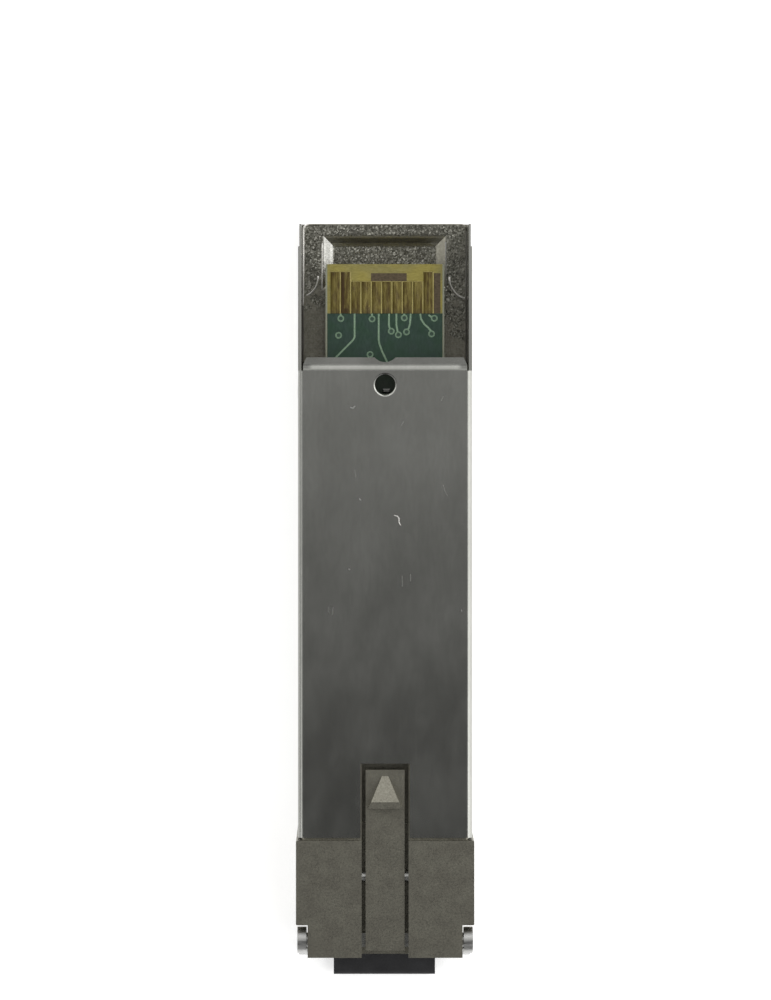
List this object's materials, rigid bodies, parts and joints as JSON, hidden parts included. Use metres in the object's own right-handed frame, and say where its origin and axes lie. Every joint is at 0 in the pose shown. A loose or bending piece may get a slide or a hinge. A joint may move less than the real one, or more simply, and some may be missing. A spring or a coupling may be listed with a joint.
{
  "type": "sfp transceiver",
  "caption": "Pluggable optical transceiver module: die-cast housing with folded sheet shell, card-edge contacts, duplex fibre ports and a bail-released latch.",
  "frame": {"origin": "on the roof face, midway across, level with the shoulder of the latch boss", "axes": "+Y along the module to its card-edge end, +Z from roof to belly, +X across"},
  "size_m": [0.0138, 0.0593, 0.0089],
  "materials": {
    "die_cast": "nickel-plated zinc die casting, grainy",
    "sheet_steel": "satin folded sheet",
    "board_laminate": "green solder mask on glass laminate",
    "gold": "gold plating, worn",
    "black_plastic": "moulded",
    "tan_ceramic": "fired",
    "nickel": "plated",
    "steel": "smooth",
    "white_ceramic": "polished",
    "amber_film": "polyimide film",
    "grip_plastic": "moulded"
  },
  "bodies": {
    "module": {"housing": "die_cast", "shell": "sheet_steel", "circuit_board": "board_laminate", "belly_contacts": "gold", "roof_contacts": "gold", "transmitter_barrel": "steel", "transmitter_sleeve": "white_ceramic", "receiver_barrel": "steel", "receiver_sleeve": "white_ceramic", "rocker_pin": "steel", "latch_spring": "sheet_steel", "driver_chip": "black_plastic", "amplifier_chip": "black_plastic", "memory_chip": "black_plastic", "capacitors": "tan_ceramic", "resistors": "black_plastic", "transmitter_can": "nickel", "transmitter_leads": "gold", "transmitter_flex": "amber_film", "receiver_can": "nickel", "receiver_leads": "gold", "receiver_flex": "amber_film", "optics_clamp": "black_plastic"},
    "bail": {"bail": "steel", "bail_shaft": "steel", "bail_grip": "grip_plastic"},
    "rocker": {"latch_rocker": "steel"}
  },
  "joints": [
    {"name": "bail_swing", "type": "hinge", "parent": "module", "child": "bail", "pos_m": [0, -0.0103, 0.0075], "axis": [-1, 0, 0], "range_deg": [0, 80]},
    {"name": "latch_rock", "type": "hinge", "parent": "module", "child": "rocker", "pos_m": [0, -0.0054, 0.0076], "axis": [-1, 0, 0], "range_deg": [0, 5.72], "deforming": ["latch_spring"]}
  ],
  "couplings": [
    {"joint": "latch_rock", "follows": "bail_swing", "ratio": 0.0715}
  ]
}
